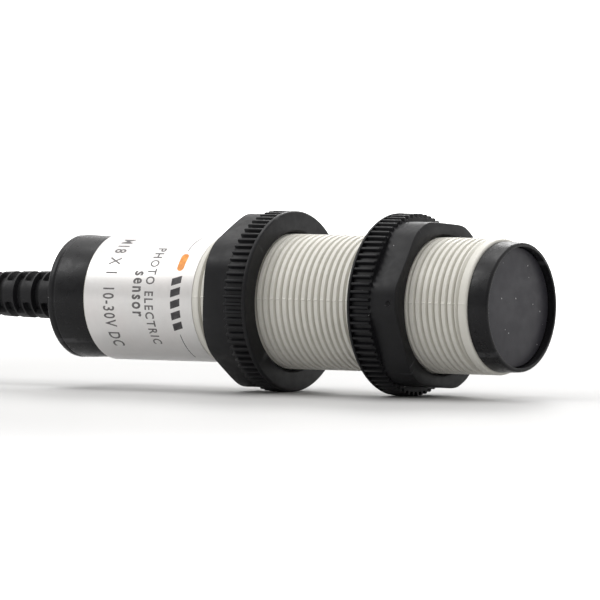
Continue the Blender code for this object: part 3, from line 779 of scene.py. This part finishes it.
def make_barrel():
    """Threaded housing with its collar, parting lines, label seat and bore."""
    shell = Shell()
    angles = {round(math.radians(2.5 * side), 6) for side in range(144)}
    for line in PARTING:
        angles |= {
            round(line + math.radians(step), 6) for step in (-1.0, -0.6, -0.3, 0, 0.3, 0.6, 1.0)
        }
    start = math.pi
    turns = sorted((angle - start) % (2 * math.pi) for angle in angles)
    count = len(turns)

    def ring(behind, radius, line=1.0):
        return shell.ring([
            spot(behind, radius + line * PARTING_HEIGHT * flash(start + turn), start + turn)
            for turn in turns
        ])

    def thread_point(turn_number, share, turn):
        behind = THREAD_REAR - PITCH * (turn_number + share + turn / (2 * math.pi))
        height = thread_height((share + 0.5) % 1.0)
        height *= smooth(THREAD_REAR - behind, 0.0, 0.5) * smooth(behind - THREAD_FRONT, 0.0, 0.5)
        radius = ROOT + (CREST - ROOT) * height + PARTING_HEIGHT * height * flash(start + turn)
        return spot(behind, radius, start + turn)

    rows = []
    for number in range(THREAD_TURNS):
        for share in THREAD_ROWS:
            if number == THREAD_TURNS - 1 and share > 0:
                break
            rows.append((number, share))
    first_index = len(shell.points)
    for number, share in rows:
        shell.points.extend(thread_point(number, share, turn) for turn in turns)
    closing = [(THREAD_TURNS - 1, share) for share in THREAD_ROWS[1:]] + [(THREAD_TURNS, 0.0)]
    closing_index = len(shell.points)
    shell.points.extend(thread_point(number, share, turns[0]) for number, share in closing)
    per = len(THREAD_ROWS)

    def index(row, side):
        if side == count:
            row, side = row + per, 0
        if row < len(rows):
            return first_index + row * count + side
        return closing_index + row - len(rows)

    last = len(rows) - 1
    for row in range(last):
        for side in range(count):
            shell.faces.append((
                index(row, side), index(row, side + 1),
                index(row + 1, side + 1), index(row + 1, side),
            ))
    runout = ring(SEAT_FRONT, ROOT, 0.0)
    shoulder = ring(COLLAR_REAR, ROOT, 0.0)
    for side in range(count):
        after = (side + 1) % count
        shell.faces.append((index(0, side), runout[side], runout[after], index(0, side + 1)))
        shell.faces.append((
            index(last, side), index(last, side + 1), shoulder[after], shoulder[side]
        ))
    shell.faces.append((runout[0], *[index(row, 0) for row in range(per + 1)]))
    shell.faces.append((shoulder[0], *[index(last + row, 0) for row in range(per, -1, -1)]))

    outline = soften([
        (COLLAR_REAR, ROOT), (COLLAR_REAR, COLLAR, 0.12), (COLLAR_FRONT, COLLAR, 0.3),
        (COLLAR_FRONT, BORE), (BARREL_REAR, BORE), (BARREL_REAR, SEAT), (SEAT_FRONT, SEAT),
        (SEAT_FRONT, ROOT),
    ], 3)
    loops = [shoulder]
    for behind, radius in outline[1:-1]:
        loops.append(ring(behind, radius, 0.6 if radius > 8.85 else 0.0))
    loops.append(runout)
    for one, two in zip(loops, loops[1:]):
        shell.join(one, two)
    return shell.made("barrel_body", BARREL, 50.0)


barrel = make_barrel()
settle(barrel, "sensor", "barrel")


# ---------------------------- front end

bezel = lathe("bezel_ring", (
    (0.0, 7.95, 0.10), (0.0, 8.5, 0.34), (2.95, 8.6, 0.08), (2.95, 6.9), (3.8, 6.9), (3.8, 6.4),
    (4.8, 6.4), (4.8, 6.9), (6.0, 6.9), (6.0, 6.2), (2.05, 6.2), (2.05, 7.95),
), BLACK, 180)
settle(bezel, "sensor", "front_bezel")

window = lathe("window_disc", (
    (1.0, 0.0), (1.0, 2.0), (1.0, 7.85, 0.12), (2.0, 7.85, 0.08), (2.0, 0.5), (2.0, 0.0),
), WINDOW, 180, closed=False)
settle(window, "sensor", "filter_window")


# ---------------------------- nuts

TEETH = 72
FLANGE, TOOTH_ROOT, NUT_BORE = 12.0, 11.55, 9.15
FLANGE_NEAR, FLANGE_FAR, NUT_TOP = 0.5, 3.4, 7.45
APOTHEM, TRIM, FACE = 10.78, 11.5, 10.6
SLOPE = math.tan(math.radians(10))
FRONT_PHASE, REAR_PHASE = math.radians(55), math.radians(26)
PITCH_OFFSETS = (-2.5, -1.9, -1.4, -1.2, -0.95, -0.65, -0.3, 0.3, 0.65, 0.95, 1.2, 1.4, 1.9)


def tooth_radius(offset):
    """Radius across one tooth pitch, offset in degrees from the middle of the land."""
    away = abs(offset)
    return FLANGE - (FLANGE - TOOTH_ROOT) * smooth(away, 0.62, 1.4) - 0.04 * smooth(away, 0.0, 0.6)


def hex_radius(angle, phase):
    """Radius of a hexagon whose corners are trimmed round and slightly blunted."""
    within = math.remainder(angle - phase, math.pi / 3)
    flat = APOTHEM / math.cos(within)
    close = max(0.5 - abs(flat - TRIM), 0.0) / 0.5
    return min(flat, TRIM) - close * close * 0.12


def make_nut(name, clamp, direction, phase):
    """Hexagon nut with a toothed flange, chamfered face and countersunk bore."""
    shell = Shell()
    around = [
        (math.radians(360.0 / TEETH * tooth + offset), offset)
        for tooth in range(TEETH) for offset in PITCH_OFFSETS
    ]
    hexagon = [hex_radius(angle, phase) for angle, _ in around]
    teeth = [tooth_radius(offset) for _, offset in around]

    def ring(depths, radii):
        return shell.ring([
            spot(clamp - direction * depth, radius, angle)
            for depth, radius, (angle, _) in zip(depths, radii, around)
        ])

    def level(depth, radius):
        return ring([depth] * len(around), [radius] * len(around))

    def even(depth, radii, less=0.0):
        return ring([depth] * len(around), [radius - less for radius in radii])

    rings = [
        level(FLANGE_NEAR, NUT_BORE + 0.3),
        even(FLANGE_NEAR, teeth, 0.14),
        even(FLANGE_NEAR + 0.04, teeth, 0.04),
        even(FLANGE_NEAR + 0.14, teeth),
        even(0.5 * (FLANGE_NEAR + FLANGE_FAR), teeth),
        even(FLANGE_FAR - 0.14, teeth),
        even(FLANGE_FAR - 0.04, teeth, 0.03),
        even(FLANGE_FAR, teeth, 0.08),
        even(FLANGE_FAR, hexagon),
        even(FLANGE_FAR + 0.15, hexagon),
        even(0.55 * FLANGE_FAR + 0.45 * NUT_TOP, hexagon),
    ]
    corner = [NUT_TOP - max(radius - FACE, 0.0) * SLOPE for radius in hexagon]
    fillet = 0.12
    for step in (0.0, 0.35, 0.65, 1.0):
        depths, radii = [], []
        for edge, radius in zip(corner, hexagon):
            a, b, c = (1 - step) ** 2, 2 * step * (1 - step), step * step
            along = min(fillet, 0.8 * (radius - FACE))
            out_depth = edge + along * SLOPE
            out_radius = radius - along
            depths.append(a * (edge - fillet) + b * edge + c * out_depth)
            radii.append((a + b) * radius + c * out_radius)
        rings.append(ring(depths, radii))
    rings += [
        level(NUT_TOP, FACE - 0.02),
        level(NUT_TOP, FACE - 0.3),
        level(NUT_TOP, NUT_BORE + 0.26),
        level(NUT_TOP - 0.04, NUT_BORE + 0.18),
        level(NUT_TOP - 0.22, NUT_BORE),
        level(FLANGE_NEAR + 0.3, NUT_BORE),
    ]
    shell.skin(rings)
    return shell.made(name, NUT, 42.0)


def nut_set(prefix, direction, phase):
    """A nut and the smooth washer face that it clamps with."""
    low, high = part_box(f"{prefix}_nut_washer")
    clamp = (FRONT_X - (low.x if direction > 0 else high.x)) / MM
    nut = make_nut(f"{prefix}_nut_body", clamp, direction, phase)
    back_face = clamp - direction * 0.48
    disc = lathe(f"{prefix}_nut_face", (
        (clamp, NUT_BORE + 0.3, 0.05), (clamp, FLANGE, 0.36), (back_face, FLANGE, 0.05),
        (back_face, NUT_BORE), (clamp - direction * 0.25, NUT_BORE),
    ), NUT, 180)
    settle(nut, f"{prefix}_clamp_nut", f"{prefix}_nut")
    settle(disc, f"{prefix}_clamp_washer", f"{prefix}_nut_washer")
    return nut


front_nut = nut_set("front", 1, FRONT_PHASE)
nut_set("rear", -1, REAR_PHASE)


# ---------------------------- label and its print

LABEL_RADIUS = 8.35
label = lathe("label_band", (
    (LABEL_FRONT, 8.17), (LABEL_FRONT, LABEL_RADIUS, 0.05), (LABEL_REAR, LABEL_RADIUS, 0.05),
    (LABEL_REAR, 8.17),
), FOIL, 240)
settle(label, "sensor", "type_label")


def wrap(builder, behind, angle, name, material):
    """Bend flat artwork, in millimetres, round the label: x runs round it and y to the front."""
    reach = max(abs(vertex.co.x) for vertex in builder.verts)
    gap = 0.3
    cuts = int(reach / gap) + 1
    for step in range(-cuts, cuts + 1):
        bmesh.ops.bisect_plane(
            builder, geom=builder.verts[:] + builder.edges[:] + builder.faces[:],
            plane_co=(gap * step, 0.0, 0.0), plane_no=(1.0, 0.0, 0.0),
        )
    for vertex in builder.verts:
        x, y, z = vertex.co
        vertex.co = spot(behind - y, LABEL_RADIUS + z, angle + x / LABEL_RADIUS)
    bmesh.ops.recalc_face_normals(builder, faces=builder.faces)
    thing = place(name, closed_mesh(builder, name), material, 60.0)
    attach(thing, "sensor")
    return thing


INK_LOW, INK_HIGH = -0.03, 0.012


def lettering(name, words, behind, angle, length, height, material, weight, spacing):
    """One printed row, scaled to its length and capital height."""
    data = bpy.data.curves.new(name, "FONT")
    data.body, data.resolution_u, data.space_character, data.offset = words, 3, spacing, weight
    data.extrude = 0.05
    flat = bpy.data.objects.new(name + "_flat", data)
    link(flat)
    bpy.context.view_layer.update()
    depsgraph = bpy.context.evaluated_depsgraph_get()
    mesh = bpy.data.meshes.new_from_object(flat.evaluated_get(depsgraph))
    bpy.data.objects.remove(flat, do_unlink=True)
    builder = bmesh.new()
    builder.from_mesh(mesh)
    bmesh.ops.remove_doubles(builder, verts=builder.verts, dist=1e-5)
    xs = [vertex.co.x for vertex in builder.verts]
    ys = [vertex.co.y for vertex in builder.verts]
    middle = (min(xs) + max(xs)) / 2, max(0.0, min(ys)) / 2 + max(ys) / 2
    across, up = length / (max(xs) - min(xs)), height / max(ys)
    for vertex in builder.verts:
        vertex.co = Vector((
            (vertex.co.x - middle[0]) * across,
            (vertex.co.y - middle[1]) * up,
            INK_HIGH if vertex.co.z > 0 else INK_LOW,
        ))
    return wrap(builder, behind, math.radians(angle), name, material)


def printed(name, outline, behind, angle, material):
    """A plain printed shape from flat outlines."""
    builder = bmesh.new()
    for shape in outline:
        low = [builder.verts.new((x, y, INK_LOW)) for x, y in shape]
        high = [builder.verts.new((x, y, INK_HIGH)) for x, y in shape]
        builder.faces.new(low)
        builder.faces.new(high)
        for here in range(len(shape)):
            after = (here + 1) % len(shape)
            builder.faces.new((low[here], low[after], high[after], high[here]))
    return wrap(builder, behind, math.radians(angle), name, material)


def bar(x0, x1, y0, y1, slant=0.0):
    """Corners of a bar whose top is pushed along by the slant."""
    return [(x0, y0), (x1, y0), (x1 + slant, y1), (x0 + slant, y1)]


lettering("print_rating", "M18 X 1  10-30V DC", 60.1, 80, 17.0, 1.75, INK_GREY, 0.014, 1.2)
lettering("print_sensor", "sensor", 55.6, 84, 6.2, 1.3, INK_GREY, 0.026, 1.3)
lettering("print_photoelectric", "PHOTO ELECTRIC", 53.6, 85, 14.4, 1.35, INK_GREY, 0.016, 1.3)
printed(
    "print_bars",
    [bar(1.55 * n - 3.6, 1.55 * n - 2.6, -0.75, 0.75, -0.45) for n in range(5)],
    49.4, 94, INK,
)
capsule = [
    (0.85 * side + 0.55 * math.cos(turn), 0.55 * math.sin(turn))
    for side, start in ((1, -math.pi / 2), (-1, math.pi / 2))
    for turn in [start + math.pi * step / 10 for step in range(11)]
]
printed("print_orange_mark", [capsule], 49.3, 52, INK_ORANGE)
printed("print_line_above", [bar(-2.4, 2.4, -0.05, 0.05)], 49.4, 22, INK)
printed("print_line_below", [bar(-2.4, 2.4, -0.05, 0.05)], 49.4, 139, INK)


# ---------------------------- rear end

FITTING = 5.4  # how far the light pipe and the trimmer sit from the axis
CAP_BACK, CAP_RADIUS = 70.4, 8.2
cap = lathe("cap_shell", (
    (60.0, 6.2), (60.0, 6.9, 0.2), (61.5, 6.9), (61.5, 6.4), (62.5, 6.4), (62.5, 6.9),
    (64.35, 6.9), (64.35, 8.02, 0.12), (69.05, CAP_RADIUS, 0.15), (69.25, 8.08, 0.08),
    (69.45, CAP_RADIUS, 0.12), (CAP_BACK, CAP_RADIUS, 0.6), (CAP_BACK, 4.4, 0.12),
    (70.15, 4.25, 0.12), (70.15, 3.4), (68.3, 3.4), (68.3, 7.0), (64.2, 7.0), (64.2, 6.2),
), BLACK, 180)
hole = ((67.6, 0.0), (67.6, 1.35), (70.15, 1.35), (70.55, 1.75), (70.9, 1.75), (70.9, 0.0))
holes = [
    lathe(f"hole_{side}", hole, None, 48, y=side * FITTING, closed=False) for side in (-1, 1)
]
carve(cap, *holes)
settle(cap, "sensor", "rear_cap")

pipe = lathe("light_pipe", (
    (66.7, 0.0), (66.7, 1.15, 0.05), (69.95, 1.15, 0.25), (70.45, 0.7, 0.2), (70.5, 0.1),
    (70.5, 0.0),
), CLEAR, 40, y=FITTING, closed=False)
settle(pipe, "sensor", "indicator_lens")

SCREW_END = 69.8
screw = lathe("trimmer_slotted", (
    (66.7, 0.0), (66.7, 1.15, 0.05), (SCREW_END, 1.15, 0.12), (SCREW_END, 0.0),
), BRASS, 48, y=-FITTING, closed=False)
builder = bmesh.new()
bmesh.ops.create_cube(builder, size=1.0)
slot_centre = spot(SCREW_END, 0.0, 0.0, y=-FITTING)
for vertex in builder.verts:
    x, y, z = vertex.co
    vertex.co = slot_centre + Vector((x * 1.2, y * 3.0, z * 0.44)) * MM
carve(screw, place("slot_cutter", closed_mesh(builder, "slot_cutter"), None))
settle(screw, "trimmer", "trimmer_screw")


# ---------------------------- strain relief

SLOT_FIRST, SLOT_STEP, SLOT_WIDE, SLOT_PAIRS = 72.2, 1.5, 1.25, 12
SLOT_HALF, SLOT_FLOOR, SLOT_TILT, SLOT_EDGE = 62.0, 2.4, -10.0, 0.16
RELIEF_LIP, RELIEF_HOLE, RELIEF_BORE = 3.8, 3.25, 2.15
TAIL = ((69.9, 3.3), (81.0, 3.08), (89.7, 2.66))


def tail_radius(behind):
    """Outer radius of the tapered tail."""
    for (near, wide), (far, narrow) in zip(TAIL, TAIL[1:]):
        if behind <= far:
            return wide + (narrow - wide) * (behind - near) / (far - near)
    return TAIL[-1][1]


def slot_depth(behind, angle):
    """How much of a slot's full depth is reached at a point of the tail."""
    depth = 0.0
    for pair in range(SLOT_PAIRS):
        near = SLOT_FIRST + SLOT_STEP * pair
        far = near + SLOT_WIDE
        across = smooth(behind, near, near + SLOT_EDGE) * (1 - smooth(behind, far - SLOT_EDGE, far))
        if across <= 0:
            continue
        facing = (90.0 if pair % 2 == 0 else 0.0) + SLOT_TILT
        for side in (0.0, 180.0):
            away = abs(math.remainder(math.degrees(angle) - facing - side, 360.0))
            depth = max(depth, across * (1 - smooth(away, SLOT_HALF - 5.0, SLOT_HALF)))
    return depth


def make_tail():
    """Tapered strain relief with staggered pairs of slots."""
    shell = Shell()
    angles = [math.radians(2.5 * side) for side in range(144)]
    rows = {70.0, 70.6, 71.3}
    for pair in range(SLOT_PAIRS):
        near = SLOT_FIRST + SLOT_STEP * pair
        rows |= {near + step for step in (
            0.0, 0.05, 0.11, SLOT_EDGE, 0.6, SLOT_WIDE - SLOT_EDGE, SLOT_WIDE - 0.11,
            SLOT_WIDE - 0.05, SLOT_WIDE,
        )}
    rings = []
    for behind, radius in (
        (66.8, RELIEF_BORE), (66.8, RELIEF_LIP), (68.0, RELIEF_LIP), (68.0, RELIEF_HOLE),
        (69.75, RELIEF_HOLE), TAIL[0],
    ):
        rings.append(shell.ring([spot(behind, radius, angle) for angle in angles]))
    for behind in sorted(rows):
        full = tail_radius(behind)
        rings.append(shell.ring([
            spot(behind, full - (full - SLOT_FLOOR) * slot_depth(behind, angle), angle)
            for angle in angles
        ]))
    for behind, radius in ((89.7, 2.62), (89.9, 2.56), (90.0, 2.42), (90.0, RELIEF_BORE)):
        rings.append(shell.ring([spot(behind, radius, angle) for angle in angles]))
    shell.skin(rings)
    return shell.made("relief_tail", RELIEF, 40.0)


tail = make_tail()
settle(tail, "sensor", "strain_relief")


# ---------------------------- small moulding marks


def dimple(piece, name, behind, radius, angle, ball, depth):
    """Press a shallow round mark into a turned or moulded surface of this radius."""
    builder = bmesh.new()
    bmesh.ops.create_uvsphere(builder, u_segments=28, v_segments=16, radius=ball * MM)
    centre = spot(behind, radius + ball - depth, math.radians(angle))
    bmesh.ops.translate(builder, verts=builder.verts, vec=centre)
    carve(piece, place(name, closed_mesh(builder, name), None))


GATE_ANGLE = 87.0
gate_radius = hex_radius(math.radians(GATE_ANGLE), FRONT_PHASE)
dimple(front_nut, "nut_gate", 13.4, gate_radius, GATE_ANGLE, 0.42, 0.28)
dimple(bezel, "bezel_pit", 2.05, 8.58, 111.5, 0.3, 0.16)
dimple(bezel, "bezel_gate", 1.75, 8.56, 123.0, 1.6, 0.11)


# ---------------------------- floor and light

floor_mesh = bpy.data.meshes.new("floor")
REACH = 12.0
floor_mesh.from_pydata(
    [(-REACH, -REACH, 0.0), (REACH, -REACH, 0.0), (REACH, REACH, 0.0), (-REACH, REACH, 0.0)],
    [], [(0, 1, 2, 3)],
)
floor_finish = Finish("floor_pale", 0.55, Specular_IOR_Level=0.3)
glow_distance = floor_finish.node("ShaderNodeVectorMath", operation="LENGTH")
floor_finish.link(floor_finish.where, glow_distance.inputs[0])
floor_cloud = floor_finish.between(floor_finish.noise(9.0, 3.0), 0.3, 0.7)
floor_finish.colour(floor_finish.mix(floor_cloud, (0.485, 0.485, 0.485), (0.515, 0.515, 0.512)))
# painted light and shade: the floor glows more with distance from the sensor, leaving a painted
# shadow round it and painted brightness further out
floor_finish.shader.inputs["Emission Color"].default_value = (1.0, 1.0, 1.0, 1.0)
floor_finish.link(
    floor_finish.between(glow_distance.outputs["Value"], 0.07, 0.34, 0.0, 1.05),
    floor_finish.shader.inputs["Emission Strength"],
)
floor = place("floor", floor_mesh, floor_finish.material)

world = bpy.data.worlds.new("studio")
scene.world = world
world.use_nodes = True
tree = world.node_tree
tree.nodes.clear()

output = add_node(tree, "ShaderNodeOutputWorld")
seen, lit = add_node(tree, "ShaderNodeBackground"), add_node(tree, "ShaderNodeBackground")
seen.inputs["Color"].default_value = (1.0, 1.0, 1.0, 1.0)
seen.inputs["Strength"].default_value = 1.05
direction = add_node(tree, "ShaderNodeTexCoord")
dot = add_node(tree, "ShaderNodeVectorMath", operation="DOT_PRODUCT")
dot.inputs[1].default_value = Vector((-0.15, 0.40, 0.90)).normalized()
ramp = add_node(tree, "ShaderNodeMapRange", interpolation_type="SMOOTHSTEP")
set_range(ramp, -0.60, 0.95, 0.18, 1.15)
lit.inputs["Color"].default_value = (1.0, 0.99, 0.98, 1.0)
path = add_node(tree, "ShaderNodeLightPath")
blend = add_node(tree, "ShaderNodeMixShader")
for source, target in (
    (direction.outputs["Generated"], dot.inputs[0]),
    (dot.outputs["Value"], ramp.inputs["Value"]),
    (ramp.outputs["Result"], lit.inputs["Strength"]),
    (path.outputs["Is Camera Ray"], blend.inputs[0]),
    (lit.outputs[0], blend.inputs[1]),
    (seen.outputs[0], blend.inputs[2]),
    (blend.outputs[0], output.inputs["Surface"]),
):
    tree.links.new(source, target)


LIT_POINT = Vector((0.0, 0.0, 0.01))


def softbox(name, location, size, power):
    """A rectangular area light aimed at the sensor."""
    data = bpy.data.lights.new(name, "AREA")
    data.shape, data.size, data.size_y = "RECTANGLE", size[0], size[1]
    data.energy = power
    lamp = bpy.data.objects.new(name, data)
    lamp.location = location
    lamp.rotation_mode = "QUATERNION"
    lamp.rotation_quaternion = (LIT_POINT - Vector(location)).to_track_quat("-Z", "Y")
    link(lamp)


softbox("key_overhead", (-0.15, 0.16, 0.90), (0.55, 0.5), 3.0)
softbox("back_left", (-0.25, 0.80, 0.50), (0.5, 0.3), 3.5)
softbox("fill_left", (-0.75, -0.50, 0.85), (0.5, 0.5), 3.0)

scene.view_settings.view_transform = "Standard"
